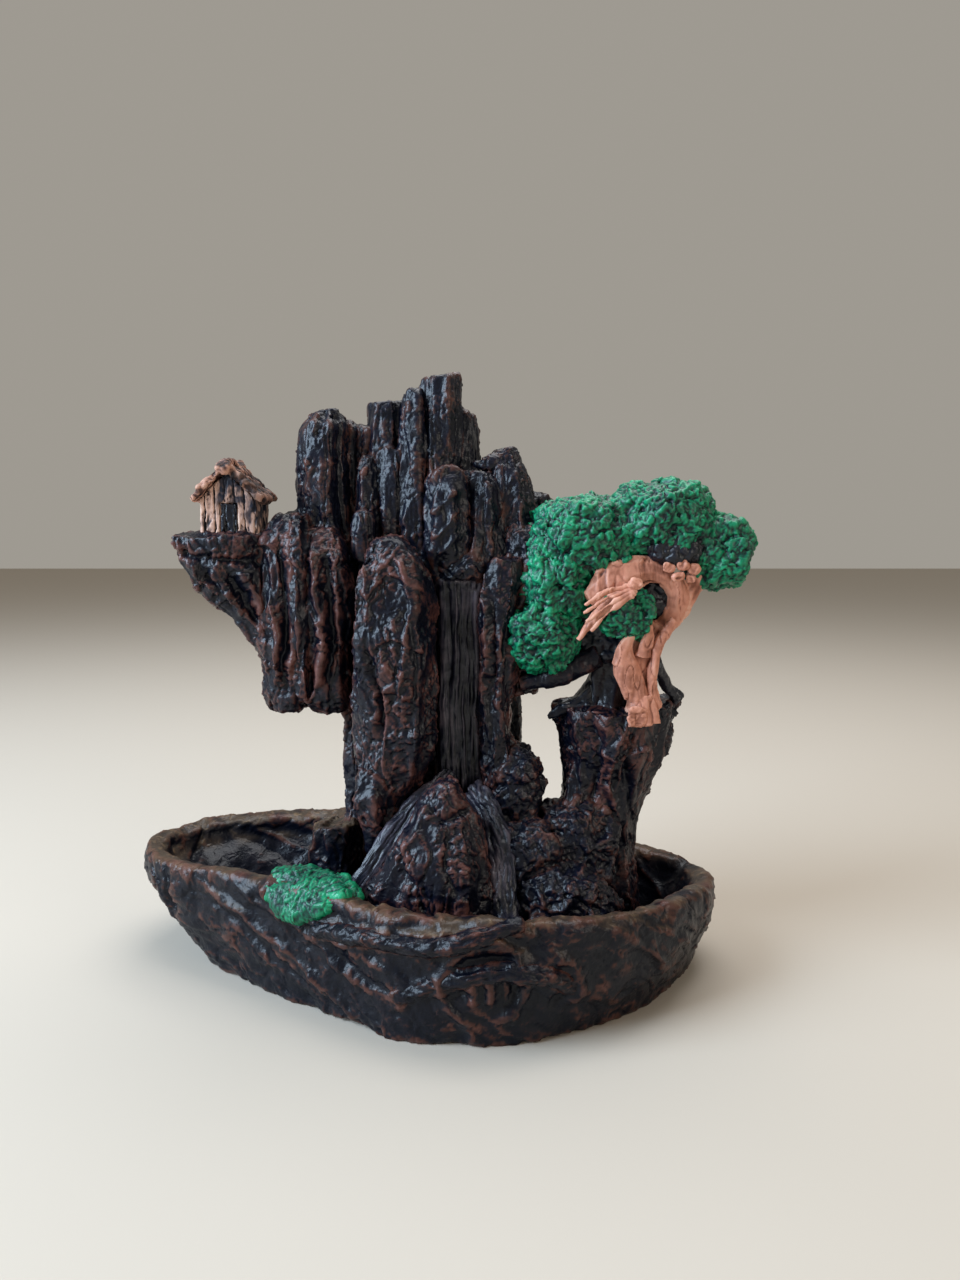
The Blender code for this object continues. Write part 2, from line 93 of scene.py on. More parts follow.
rng = np.random.default_rng(20)
GRADIENTS = rng.normal(size=(256, 3))
GRADIENTS /= np.linalg.norm(GRADIENTS, axis=1)[:, None]
SCATTER = rng.random((256, 3))


def pick(ix, iy, iz, seed):
    """A repeatable number from 0 to 255 for each cell of a lattice."""
    h = (ix * 73856093) ^ (iy * 19349663) ^ (iz * 83492791) ^ (seed * 1013904223)
    h = ((h ^ (h >> 13)) * 1274126177) & 0x7FFFFFFF
    return ((h ^ (h >> 15)) >> 3) & 255


def noise(p, seed=0):
    """Gradient noise, scaled to about -1 to 1, at each row of p."""
    cell = np.floor(p).astype(np.int64)
    f = p - cell
    u = f * f * f * (f * (f * 6 - 15) + 10)
    total = np.zeros(len(p))
    for corner in np.ndindex(2, 2, 2):
        weight = np.prod(np.where(corner, u, 1 - u), axis=1)
        slope = GRADIENTS[pick(*(cell + corner).T, seed)]
        total += weight * ((f - corner) * slope).sum(1)
    return total * 1.6


def fractal(p, octaves, seed=0):
    return sum(noise(p * 2**k, seed + k) / 2**k for k in range(octaves))


def creases(p, octaves, seed=0):
    """Sharp valleys between rounded folds, from about -1 (valley) to 0.4."""
    total = np.zeros(len(p))
    for k in range(octaves):
        fold = np.minimum(np.abs(noise(p * 2**k, seed + k)) * 2.2, 1)
        total += (fold - 0.7) / 1.8**k
    return total


def wander(p, reach, size, seed=0):
    """p moved about by a smooth field, so that what is drawn with it wavers."""
    field = [noise(p / size, seed + 31 * k) for k in range(3)]
    return p + reach * np.stack(field, axis=1)


def near_points(p, seed):
    """For each of the 27 lattice points near each row of p: a random index, and the way to it."""
    cell = np.floor(p).astype(np.int64)
    for shift in np.ndindex(3, 3, 3):
        other = cell + shift - 1
        index = pick(*other.T, seed)
        yield index, p - other - SCATTER[index]


def crumbs(p, seed=0):
    """Round crumbs packed side by side: 1 on top of a crumb, 0 in the crevices between."""
    near = np.full(len(p), np.inf)
    for _, gap in near_points(p, seed):
        near = np.minimum(near, (gap**2).sum(1))
    crumb_radius_squared = 0.62
    return np.sqrt(np.clip(1 - near / crumb_radius_squared, 0, 1))


def facets(p, seed=0, crisp=14.0):
    """Chiselled stone, from about -1 to 1: each cell has a tilted plane of its own."""
    total = np.zeros(len(p))
    weights = np.full(len(p), 1e-9)
    for index, gap in near_points(p, seed):
        weight = np.exp(-crisp * (gap**2).sum(1))
        total += weight * ((gap * GRADIENTS[index]).sum(1) * 1.3 + SCATTER[index, 1] - 0.5)
        weights += weight
    return total / weights * 1.5


def cracks(p, width, seed=0):
    """Thin cracks: -1 along the bottom of each, 0 away from them."""
    return -np.clip(1 - np.abs(noise(p, seed)) / width, 0, 1)


def step(x, low, high):
    """0 below low, 1 above high, and a smooth rise between."""
    t = np.clip((x - low) / (high - low), 0, 1)
    return t * t * (3 - 2 * t)


# ---- drawing on the front with a tool -----------------------------------------------------


def beside_line(p, line):
    """For each (x, z) in p: the distance to a line, the side of it, and the share of its length."""
    line = np.array(line, float)
    spans = np.diff(line, axis=0)
    lengths = np.linalg.norm(spans, axis=1)
    starts = np.concatenate([[0], np.cumsum(lengths)])
    near = np.full(len(p), np.inf)
    side = np.zeros(len(p))
    share = np.zeros(len(p))
    for a, span, length, start in zip(line, spans, lengths, starts):
        t = np.clip((p - a) @ span / length**2, 0, 1)
        gap = p - a - t[:, None] * span
        away = np.linalg.norm(gap, axis=1)
        closer = away < near
        near = np.where(closer, away, near)
        side = np.where(closer, np.sign(span[0] * gap[:, 1] - span[1] * gap[:, 0]), side)
        share = np.where(closer, (start + t * length) / starts[-1], share)
    return near, side, share


def curve_through(points, count=24):
    """A smooth line through a few points, as a Catmull-Rom spline."""
    points = np.array(points, float)
    padded = np.vstack([2 * points[0] - points[1], points, 2 * points[-1] - points[-2]])
    made = []
    for at in np.linspace(0, len(points) - 1, count):
        k = min(int(at), len(points) - 2)
        t = at - k
        a, b, c, d = padded[k:k + 4]
        square = (2 * a - 5 * b + 4 * c - d) * t**2
        cube = (3 * b - a - 3 * c + d) * t**3
        made.append(0.5 * (2 * b + (c - a) * t + square + cube))
    return np.array(made)


def drawn(p, normals, strokes):
    """The height of tool marks, drawn from the front. Each is (kind, height, width, points).

    A rope is a raised or sunk line. A lobe is raised on the left of its line, and fades out.
    """
    height = np.zeros(len(p))
    facing = step(-normals[:, 1], -0.1, 0.3)
    flat = wander(wander(p, 1.0, 9.0, 76), 0.5, 3.5, 77)[:, [0, 2]]
    for kind, rise, width, points in strokes:
        near, side, share = beside_line(flat, curve_through(points))
        taper = step(share, 0, 0.15) * step(1 - share, 0, 0.15)
        if kind == "rope":
            mark = np.exp(-((near / width) ** 2)) * (0.3 + 0.7 * taper)
        else:
            mark = step(side * near, -0.4, 0.4) * np.exp(-near / width) * taper
        height += rise * mark * facing
    return height


# ---- sculpted copies of the CAD nodes -----------------------------------------------------


def mesh_arrays(mesh):
    """The mesh's points in mm, and its normals."""
    count = len(mesh.vertices)
    points = np.empty(count * 3)
    mesh.vertices.foreach_get("co", points)
    normals = np.empty(count * 3)
    mesh.vertices.foreach_get("normal", normals)
    return points.reshape(-1, 3) / MM, normals.reshape(-1, 3)


def put_points(mesh, points):
    mesh.vertices.foreach_set("co", (points * MM).ravel())
    mesh.update()


def neighbour_mean(mesh, values, rounds):
    """values smoothed over the mesh's edges."""
    ends = np.empty(len(mesh.edges) * 2, np.int64)
    mesh.edges.foreach_get("vertices", ends)
    a, b = ends.reshape(-1, 2).T
    count = np.bincount(a, minlength=len(values)) + np.bincount(b, minlength=len(values))
    for _ in range(rounds):
        total = np.stack(
            [
                np.bincount(a, v[b], len(values)) + np.bincount(b, v[a], len(values))
                for v in values.T
            ],
            axis=1,
        )
        values = 0.5 * values + 0.5 * total / np.maximum(count, 1)[:, None]
    return values


def store(mesh, name, values):
    """Keeps one value per point, which the materials read by name."""
    layer = mesh.attributes.new(name, "FLOAT", "POINT")
    layer.data.foreach_set("value", values.astype(np.float32))


def keep_largest(mesh):
    """Deletes the crumbs that remeshing leaves beside a thin edge."""
    ends = np.empty(len(mesh.edges) * 2, np.int64)
    mesh.edges.foreach_get("vertices", ends)
    a, b = ends.reshape(-1, 2).T
    island = np.arange(len(mesh.vertices))
    while True:
        least = np.minimum(island[a], island[b])
        merged = island.copy()
        np.minimum.at(merged, a, least)
        np.minimum.at(merged, b, least)
        merged = merged[merged]
        if np.array_equal(merged, island):
            break
        island = merged
    stray = np.flatnonzero(island != np.bincount(island).argmax())
    if len(stray):
        bm = bmesh.new()
        bm.from_mesh(mesh)
        bm.verts.ensure_lookup_table()
        bmesh.ops.delete(bm, geom=[bm.verts[k] for k in stray], context="VERTS")
        bm.to_mesh(mesh)
        bm.free()


def remeshed(mesh, name, voxel, soften):
    """A fine, even copy of a mesh, with its corners rounded a little."""
    mesh = mesh.copy()
    bm = bmesh.new()
    bm.from_mesh(mesh)
    bmesh.ops.remove_doubles(bm, verts=bm.verts, dist=1e-6)
    bm.to_mesh(mesh)
    bm.free()
    obj = bpy.data.objects.new(name, mesh)
    bpy.context.scene.collection.objects.link(obj)
    remesh = obj.modifiers.new("remesh", "REMESH")
    remesh.mode = "VOXEL"
    remesh.voxel_size = voxel * MM
    smooth = obj.modifiers.new("soften", "SMOOTH")
    smooth.factor = 0.5
    smooth.iterations = soften
    bpy.context.view_layer.update()
    fine = bpy.data.meshes.new_from_object(obj.evaluated_get(bpy.context.evaluated_depsgraph_get()))
    keep_largest(fine)
    obj.modifiers.clear()
    obj.data = fine
    fine.materials.clear()
    return obj


def strand_mesh(route, flat=1.0):
    """A rolled strand of clay through points (x, y, z, radius) in mm, flattened front to back."""
    path = curve_through(route, 6 * len(route))
    rows = []
    bm = bmesh.new()
    for k, (x, y, z, radius) in enumerate(path):
        before, after = path[max(0, k - 1)], path[min(len(path) - 1, k + 1)]
        along = Vector(after[:3] - before[:3]).normalized()
        across = along.cross(Vector((0, 1, 0))).normalized()
        outward = across.cross(along)
        row = []
        for i in range(STRAND_SIDES):
            turn = math.tau * i / STRAND_SIDES
            spread = across * math.cos(turn) + outward * math.sin(turn) * flat
            row.append(bm.verts.new((Vector((x, y, z)) + spread * radius) * MM))
        rows.append(row)
    for low, high in zip(rows, rows[1:]):
        for i in range(STRAND_SIDES):
            j = (i + 1) % STRAND_SIDES
            bm.faces.new((low[i], low[j], high[j], high[i]))
    bm.faces.new(rows[0][::-1])
    bm.faces.new(rows[-1])
    mesh = bpy.data.meshes.new("strand")
    bm.to_mesh(mesh)
    bm.free()
    return mesh


def lump_mesh(middle, half_sizes, turn=0.0, square=3.0):
    """A squarish lump: a ball pushed out towards its corners. turn is about Y, in degrees."""
    bm = bmesh.new()
    bmesh.ops.create_icosphere(bm, subdivisions=3, radius=1.0)
    for vertex in bm.verts:
        push = sum(abs(a) ** square for a in vertex.co) ** (-1 / square)
        vertex.co = Vector(a * b * push * MM for a, b in zip(vertex.co, half_sizes))
    turned = Matrix.Rotation(math.radians(turn), 4, "Y")
    bm.transform(Matrix.Translation(Vector(middle) * MM) @ turned)
    mesh = bpy.data.meshes.new("lump")
    bm.to_mesh(mesh)
    bm.free()
    return mesh


def seam_distance(node, points):
    """How far each point is from the other CAD pieces, up to a few mm. Water isn't counted."""
    low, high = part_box(node)
    gap = SEAM_SEARCH * MM
    corners, faces = [], []
    for name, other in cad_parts.items():
        if name == node or name in WATER:
            continue
        place = other.matrix_world
        there = [place @ Vector(c) for c in other.bound_box]
        if any(
            max(c[k] for c in there) < low[k] - gap or min(c[k] for c in there) > high[k] + gap
            for k in range(3)
        ):
            continue
        first = len(corners)
        corners += [(place @ v.co) / MM for v in other.data.vertices]
        faces += [[first + k for k in face.vertices] for face in other.data.polygons]
    if not faces:
        return np.full(len(points), NO_SEAM)
    tree = BVHTree.FromPolygons(corners, faces)
    found = [tree.find_nearest(point, SEAM_SEARCH)[3] for point in points.tolist()]
    return np.array([NO_SEAM if d is None else d for d in found])


def sculpt(
    node, relief, material, slot, form=None, voxel=VOXEL, soften=3, swell=SWELL, weld=WELD,
    strokes=(), bend=1.0, floor=None, wear_and_light_mask=None,
):
    """Replaces a CAD node by its sculpted copy, or adds a new form under the name given.

    relief(points, normals) gives the coarse and the fine heights in mm, and the last argument, a
    mask function of (points, normals), how far the material's second colour covers the paint, from
    0 to 1: worn paint, and on the basin's rim and the stepping rock painted top light as well.
    bend is how far in mm the whole form is pushed about by hand, and no point ends below floor.
    """
    if form:
        obj = remeshed(form, node, voxel, soften)
    else:
        obj = remeshed(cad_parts[node].data, node + "_clay", voxel, soften)
    mesh = obj.data
    points, normals = mesh_arrays(mesh)
    coarse, fine = relief(points, normals)
    height = swell + coarse
    if weld and not form:
        height += weld * np.exp(-((seam_distance(node, points) / WELD_REACH) ** 2))
    if strokes:
        height += drawn(points, normals, strokes)
    moved = points + normals * height[:, None]
    moved = wander(moved, bend, 17.0, 5)
    moved = wander(moved, 0.35 * bend, 6.0, 9)
    put_points(mesh, moved)
    points, normals = mesh_arrays(mesh)
    moved = points + normals * fine[:, None]
    if floor is not None:
        moved[:, 2] = np.maximum(moved[:, 2], floor)
    put_points(mesh, moved)
    points, normals = mesh_arrays(mesh)
    # 0 in a hollow and 1 on a ridge, from how far each point stands off its smoothed surface.
    for name, rounds, scale in (("edge", 3, 0.12), ("form", 14, 0.5)):
        away = points - neighbour_mean(mesh, points, rounds)
        store(mesh, name, np.clip(0.5 + (away * normals).sum(1) / scale / 2, 0, 1))
    # The mask of the second colour: worn paint, and painted top light on the rim and the stepping
    # rock.
    store(mesh, "worn_and_top_lit", wear_and_light_mask(points, normals) if wear_and_light_mask else np.zeros(len(points)))
    mesh.shade_smooth()
    mesh.materials.append(material)
    if not form:
        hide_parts(node)
    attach(obj, "root")
    return obj


# ---- how each kind of clay is worked ------------------------------------------------------
# Each relief returns its coarse and its fine heights in mm. p is in mm, so what divides it is the
# size of a feature.


def lobes(p, size, seed):
    """Flat lobes of clay laid over each other, with a steep edge on one side."""
    return np.tanh(4.5 * noise(wander(p, 2.0, size, seed + 3) / size, seed))


def patchy(p, size, seed):
    """1 in some patches, 0 in others."""
    return step(noise(p / size, seed), -0.25, 0.25)


def flakes(p, size, seed):
    """Thin layers lying over each other: each rises slowly, then ends in a small step. 0 to 1."""
    level = noise(p / size, seed) * 1.6 + 8
    t = level - np.floor(level)
    return t * step(1 - t, 0, 0.14)


def crag(p, normals):
    """Broken rock: upright folds and overlapping sheets of clay, chipped in places."""
    q = wander(p, 1.5, 8.0, 2)
    tall = q * (1, 1, 0.42)
    coarse = 0.55 * facets(tall / 9.0, 14, 12) + 0.45 * fractal(p * (1, 1, 0.6) / 12, 2, 21)
    coarse += 0.9 * flakes(wander(p, 2.5, 10, 4) * (1, 1, 0.5), 12, 16) - 0.4
    chips = 0.25 + 0.75 * patchy(p, 8, 50)
    fine = 0.42 * facets(q * (1, 1, 0.7) / 2.6, 40, 45) * chips
    fine += 0.22 * facets(p / 1.5, 39, 30) * chips
    fine += 0.5 * cracks(tall / 6, 0.05, 43) + 0.10 * fractal(q / 2.2, 2, 42)
    return coarse, fine


def column(p, normals):
    """Cleft columns: flat upright faces with long clefts, and patches of small chips."""
    q = wander(p, 0.7, 14.0, 3)
    upright = q * (1, 1, 0.09)
    coarse = 0.55 * facets(upright / 7.0, 61, 34) + 0.8 * cracks(upright / 9, 0.06, 62) + 0.1
    coarse += 0.45 * flakes(q * (1, 1, 0.4), 13, 64)
    chips = 0.2 + 0.8 * patchy(p, 7, 51)
    fine = 0.36 * facets(q * (1, 1, 0.55) / 2.4, 41, 45) * chips
    fine += 0.20 * facets(p / 1.4, 38, 30) * chips
    fine += 0.35 * cracks(upright / 3.4, 0.05, 63) + 0.06 * fractal(q / 2.0, 2, 65)
    return coarse, fine


def dragged(p, normals):
    """A strip of clay smeared sideways."""
    q = wander(p, 1.2, 6.0, 21) * (0.3, 1, 1)
    coarse = 0.5 * fractal(p / 7, 2, 35) + 0.5 * creases(q / 3.2, 1, 36) - 0.2
    return coarse, 0.2 * facets(q / 1.6, 36, 30) + 0.15 * creases(q / 1.4, 2, 37)


def knobbly(p, normals):
    """Small rocks pressed together, chiselled."""
    q = wander(p, 1.3, 6.0, 8)
    coarse = 1.1 * facets(q / 7.5, 3, 24) + 0.4 * fractal(p / 10, 2, 23) + 0.5 * flakes(q, 9, 5)
    fine = 0.40 * facets(q / 2.6, 4, 45) + 0.20 * facets(p / 1.5, 37, 30)
    fine += 0.4 * cracks(q / 5, 0.05, 45)
    return coarse, fine


def falling(p, normals):
    """Water combed with a toothed tool, straight down."""
    q = wander(p * (1, 1, 0.05), 0.3, 1.5, 12) * (1, 0.4, 1)
    coarse = 0.7 * creases(q / 3.2, 1, 90) + 0.3
    fine = 0.45 * creases(q / 1.5, 2, 92)
    fine += 0.3 * facets(p * (0.5, 0.5, 0.12) / 1.5, 93) * patchy(p, 7, 94)
    return coarse, fine


def flowing_along(route):
    """Water combed with a toothed tool along a route (x, z)."""
    line = curve_through(route)

    def relief(p, normals):
        near, side, share = beside_line(wander(p, 0.4, 4.0, 95)[:, [0, 2]], line)
        across = near * side
        length = share * np.linalg.norm(np.diff(line, axis=0), axis=1).sum()
        q = np.stack([across, p[:, 1] * 0.3, length * 0.07], axis=1)
        coarse = 0.5 * creases(q / 4.0, 1, 96)
        fine = 0.45 * creases(q / 1.6, 2, 97)
        return coarse, fine

    return relief


def basin_wall(p, normals):
    """Clay dragged sideways round the bowl, pinched to a rolled rim, and smoother inside."""
    turn = np.arctan2(p[:, 1], p[:, 0]) * BOWL_RADIUS
    around = np.stack([turn, p[:, 2], np.hypot(p[:, 0], p[:, 1]) * 0.6], axis=1)
    around = wander(around, 3.0, 14.0, 15)
    around[:, 1] += 0.25 * around[:, 0]
    sector = ((turn / BOWL_RADIUS + math.pi) * RIM_SECTORS / math.tau).astype(int) % RIM_SECTORS
    tops = np.array([p[sector == k, 2].max(initial=0) for k in range(RIM_SECTORS)])
    tops = np.roll(tops, 1) / 4 + tops / 2 + np.roll(tops, -1) / 4
    below = tops[sector] - p[:, 2]
    rim = np.exp(-((np.maximum(below, 0) / 4.5) ** 4))
    roll = rim * (0.9 + 0.8 * noise(around / (8, 20, 20), 35))
    neck = 0.8 * np.exp(-(((below - 8) / 2.5) ** 2))
    coarse = 0.45 * facets(around / (26, 11, 11), 29, 12)
    coarse += 0.9 * fractal(around / (30, 15, 15), 2, 33)
    coarse += roll - neck
    coarse += 0.55 * flakes(around * (0.45, 1, 1), 15, 36)
    fine = 0.22 * creases(around / (9, 3.2, 3.2), 2, 46) * patchy(p, 14, 53)
    nicks = 0.24 * facets(around / (6, 2.6, 2.6), 47, 30)
    fine += nicks + 0.5 * cracks(around / (24, 8, 8), 0.05, 48)
    outward = (p[:, :2] * normals[:, :2]).sum(1) / np.maximum(np.hypot(p[:, 0], p[:, 1]), 1)
    inner = np.maximum(step(-outward, 0.1, 0.5), step(normals[:, 2], 0.5, 0.8)) * (1 - rim)
    return coarse * (1 - 0.6 * inner), fine * (1 - 0.6 * inner)


def leafy(p, normals):
    """Crumbs pinched into leaves, in clumps."""
    q = wander(p, 1.0, 2.5, 6)
    coarse = 1.7 * crumbs(p / 6.5, 11) + 0.7 * fractal(p / 9, 2, 24) - 1.2
    fine = 0.95 * crumbs(q / 2.7, 12) + 0.45 * crumbs(q / 1.4, 13)
    return coarse, fine + 0.40 * facets(q / 2.2, 17, 24) - 0.9


def mossy(p, normals):
    """A thin pad dragged downwards with a tool."""
    q = wander(p, 1.0, 4.0, 7) * (1, 1, 0.4)
    coarse = 0.6 * fractal(p / 8, 2, 31) + 0.4
    return coarse, 0.42 * creases(q / 2.6, 2, 32) + 0.25 * facets(p / 2.0, 34, 30)


def crumbly(p, normals):
    """Coarse crumbs of dark clay, under the leaves."""
    q = wander(p, 1.0, 3.0, 6)
    coarse = 1.3 * crumbs(p / 6.0, 14) + 0.5 * fractal(p / 7, 2, 25) - 0.7
    fine = 0.9 * crumbs(q / 2.4, 15) + 0.3 * crumbs(q / 1.3, 16) - 0.5
    return coarse, fine


def bark(p, normals):
    """Smooth sinews twisting up the wood, chipped here and there."""
    upright = wander(p, 1.4, 7.0, 18) * (1, 1, 0.22)
    coarse = 0.40 * facets(upright / 5.0, 81, 14) + 0.25 * fractal(p / 6, 2, 26)
    fine = 0.12 * creases(upright / 1.8, 1, 83) + 0.25 * cracks(upright / 4.5, 0.06, 86)
    return coarse, fine


def chipped(p, normals):
    """Small cut faces."""
    return 0.3 * facets(p / 3.5, 87, 16), 0.10 * facets(p / 1.4, 88, 16)


def plaster(p, normals):
    """Upright planks with worn faces."""
    q = wander(p, 0.35, 3.0, 89)
    along = np.where(np.abs(normals[:, 1]) > 0.7, q[:, 0], q[:, 1])
    gap = np.abs((along / PLANK_WIDTH) % 1 - 0.5)
    coarse = -0.8 * step(gap, 0.42, 0.48) * step(1.2 - np.abs(normals[:, 2]), 0.4, 0.7)
    coarse += 0.12 * fractal(p / 4, 2, 27)
    fine = 0.10 * creases(p * (1, 1, 0.3) / 1.6, 2, 84)
    fine += 0.20 * facets(p * (1, 1, 0.4) / 1.9, 91, 24)
    return coarse, fine


def thatch(p, normals):
    """Flat bundles of straw laid down the slope."""
    strands = wander(p, 0.8, 4.0, 19) * (0.25, 1, 0.25)
    coarse = 0.45 * lobes(p, 4.0, 28) + 0.3 * noise(p / 3, 30)
    fine = 0.4 * creases(strands / 1.3, 2, 85)
    return coarse, fine


# ---- where the second colour lies, from 0 to 1: worn paint, and painted top light on the rim ---


def drag(p, normals):
    """Green paint thinned out along the lower edge of the moss."""
    lower = step(33.5 - p[:, 2], 0, 5)
    return np.clip(lower + 0.4 * noise(p * (1, 1, 0.3) / 3, 59) - 0.1, 0, 0.6)


def rim_wear_and_top_light(p, normals):
    """Patches on upward faces from the rim's height up. On the basin and the stepping rock their
    lighter colour is rubbed lacquer and painted top light; on the thatch their colour is a dark
    wash.
    """
    upward = step(normals[:, 2], 0.25, 0.8)
    return upward * step(p[:, 2], 27, 31) * step(noise(p / 9, 57), -0.7, 0.2)


def smoke(p, normals):
    """Dark wash on the gable and on the right half of the hut."""
    gable = step(p[:, 2], 160, 167) * step(p[:, 0], -76, -72)
    dark = gable + 0.8 * step(p[:, 0], -67, -62)
    return np.clip(dark * (0.3 + 1.1 * patchy(p * (1, 1, 0.5), 2.6, 58)), 0, 1)


# ---- materials ----------------------------------------------------------------------------


def new_material(name):
    material = bpy.data.materials.new(name)
    material.use_nodes = True
    nodes = material.node_tree.nodes
    return material, nodes, material.node_tree.links, nodes["Principled BSDF"]


def node_of(nodes, kind, inputs=(), **settings):
    """A new shader node, with its constant inputs and its settings."""
    made = nodes.new(kind)
    for key, value in settings.items():
        setattr(made, key, value)
    for key, value in inputs:
        made.inputs[key].default_value = value
    return made


def ramp(nodes, stops):
    made = nodes.new("ShaderNodeValToRGB")
    elements = made.color_ramp.elements
    while len(elements) < len(stops):
        elements.new(0.5)
    for element, (at, colour) in zip(elements, stops):
        element.position = at
        element.color = (*colour, 1)
    return made


def clay_material(
    name, stops, roughness, coat, patches=1.3, wrinkles=420.0, specular=0.18, rub_and_top_light=None, cover=0.35
):
    """Painted clay. stops colour it from its hollows to its ridges, and patches is how far larger
    stains shift that. wrinkles is how many fit in a metre. The optional second colour is what the
    stored mask mixes in (worn paint, and on RIM painted top light as well), and cover is how solid
    it is.
    """
    material, nodes, links, shader = new_material(name)
    place = node_of(nodes, "ShaderNodeTexCoord")
    edge = node_of(nodes, "ShaderNodeAttribute", attribute_name="edge")
    form = node_of(nodes, "ShaderNodeAttribute", attribute_name="form")
    stain = node_of(
        nodes, "ShaderNodeTexNoise", [("Scale", 95.0), ("Detail", 5.0), ("Roughness", 0.6)]
    )
    links.new(place.outputs["Object"], stain.inputs["Vector"])

    wrinkle = node_of(
        nodes, "ShaderNodeTexNoise",
        [("Scale", wrinkles), ("Detail", 5.0), ("Roughness", 0.55), ("Distortion", 0.6)],
        noise_type="RIDGED_MULTIFRACTAL",
    )
    links.new(place.outputs["Object"], wrinkle.inputs["Vector"])
    total = None
    for source, share in ((edge, 0.16), (form, 0.38), (wrinkle, 0.14), (stain, patches)):
        scaled = node_of(nodes, "ShaderNodeMath", [(1, share)], operation="MULTIPLY")
        links.new(source.outputs["Fac"], scaled.inputs[0])
        if total:
            summed = node_of(nodes, "ShaderNodeMath", operation="ADD")
            links.new(total.outputs[0], summed.inputs[0])
            links.new(scaled.outputs[0], summed.inputs[1])
            scaled = summed
        total = scaled
    level = node_of(
        nodes, "ShaderNodeMath", [(1, patches / 2 - 0.10)], operation="SUBTRACT", use_clamp=True
    )
    links.new(total.outputs[0], level.inputs[0])
    colours = ramp(nodes, stops)
    links.new(level.outputs[0], colours.inputs["Fac"])
    final = colours.outputs["Color"]
    if rub_and_top_light:
        worn_and_top_lit = node_of(nodes, "ShaderNodeAttribute", attribute_name="worn_and_top_lit")
        broken = node_of(nodes, "ShaderNodeMath", [(1, 1.5), (2, cover)], operation="MULTIPLY_ADD")
        links.new(wrinkle.outputs["Fac"], broken.inputs[0])
        amount = node_of(nodes, "ShaderNodeMath", operation="MULTIPLY", use_clamp=True)
        links.new(worn_and_top_lit.outputs["Fac"], amount.inputs[0])
        links.new(broken.outputs[0], amount.inputs[1])
        mixed = node_of(nodes, "ShaderNodeMixRGB", [("Color2", (*rub_and_top_light, 1))])
        links.new(amount.outputs[0], mixed.inputs["Fac"])
        links.new(final, mixed.inputs["Color1"])
        final = mixed.outputs["Color"]
    links.new(final, shader.inputs["Base Color"])

    gloss = node_of(
        nodes, "ShaderNodeMapRange", [("To Min", roughness + 0.12), ("To Max", roughness - 0.06)]
    )
    links.new(stain.outputs["Fac"], gloss.inputs["Value"])
    links.new(gloss.outputs["Result"], shader.inputs["Roughness"])

    skin = node_of(
        nodes, "ShaderNodeTexNoise", [("Scale", 1300.0), ("Detail", 3.0), ("Roughness", 0.6)]
    )
    links.new(place.outputs["Object"], skin.inputs["Vector"])
    soft = node_of(nodes, "ShaderNodeBump", [("Strength", 0.4), ("Distance", 0.0003)])
    links.new(skin.outputs["Fac"], soft.inputs["Height"])
    bump = node_of(nodes, "ShaderNodeBump", [("Strength", 0.55), ("Distance", 0.0005)])
    links.new(wrinkle.outputs["Fac"], bump.inputs["Height"])
    links.new(soft.outputs["Normal"], bump.inputs["Normal"])
    links.new(bump.outputs["Normal"], shader.inputs["Normal"])
    links.new(bump.outputs["Normal"], shader.inputs["Coat Normal"])
    shader.inputs["Coat Weight"].default_value = coat
    shader.inputs["Coat Roughness"].default_value = 0.2
    shader.inputs["Specular IOR Level"].default_value = specular
    return material


DARK = clay_material(
    "black_brown_lacquered_clay",
    [(0.32, (0.001, 0.002, 0.007)), (0.48, (0.005, 0.006, 0.014)), (0.61, (0.036, 0.016, 0.015)),
     (0.90, (0.115, 0.047, 0.037))],
    roughness=0.38, coat=0.34, specular=0.12,
)
# RIM's lighter ochre second colour is rubbed lacquer and painted top light on upward faces.
RIM = clay_material(
    "worn_and_top_lit_black_brown_lacquered_clay",
    [(0.34, (0.001, 0.002, 0.006)), (0.49, (0.006, 0.005, 0.009)), (0.61, (0.040, 0.015, 0.012)),
     (0.92, (0.125, 0.050, 0.038))],
    roughness=0.38, coat=0.28, specular=0.10, rub_and_top_light=(0.125, 0.080, 0.045),
)
RED = clay_material(
    "reddish_lacquered_clay",
    [(0.31, (0.001, 0.002, 0.007)), (0.43, (0.007, 0.005, 0.010)), (0.56, (0.050, 0.019, 0.017)),
     (0.90, (0.150, 0.062, 0.052))],
    roughness=0.38, coat=0.34, specular=0.12,
)
BLACK = clay_material(
    "blue_black_lacquered_clay",
    [(0.24, (0.001, 0.002, 0.006)), (0.50, (0.005, 0.007, 0.014)), (0.90, (0.030, 0.026, 0.032))],
    roughness=0.36, coat=0.45,
)
# Black clay for the water. Its pale blue-grey ridges are partly the water's streaks and partly a
# painted sheen of the window light.
WATERFALL = clay_material(
    "streaked_water_clay_with_painted_sheen",
    [(0.24, (0.001, 0.002, 0.006)), (0.40, (0.010, 0.011, 0.022)), (0.56, (0.048, 0.042, 0.058)),
     (0.90, (0.125, 0.104, 0.125))],
    roughness=0.34, coat=0.45, wrinkles=200.0,
)
LEAF = clay_material(
    "green_painted_clay",
    [(0.20, (0.001, 0.012, 0.014)), (0.34, (0.002, 0.055, 0.034)), (0.54, (0.003, 0.175, 0.078)),
     (0.90, (0.015, 0.400, 0.180))],
    roughness=0.40, coat=0.28, patches=0.7, specular=0.2, rub_and_top_light=(0.004, 0.020, 0.022),
)
BARK = clay_material(
    "salmon_painted_clay",
    [(0.10, (0.020, 0.008, 0.007)), (0.28, (0.230, 0.080, 0.048)), (0.46, (0.560, 0.235, 0.155)),
     (0.90, (0.780, 0.460, 0.340))],
    roughness=0.48, coat=0.2, patches=0.7, wrinkles=300.0,
)
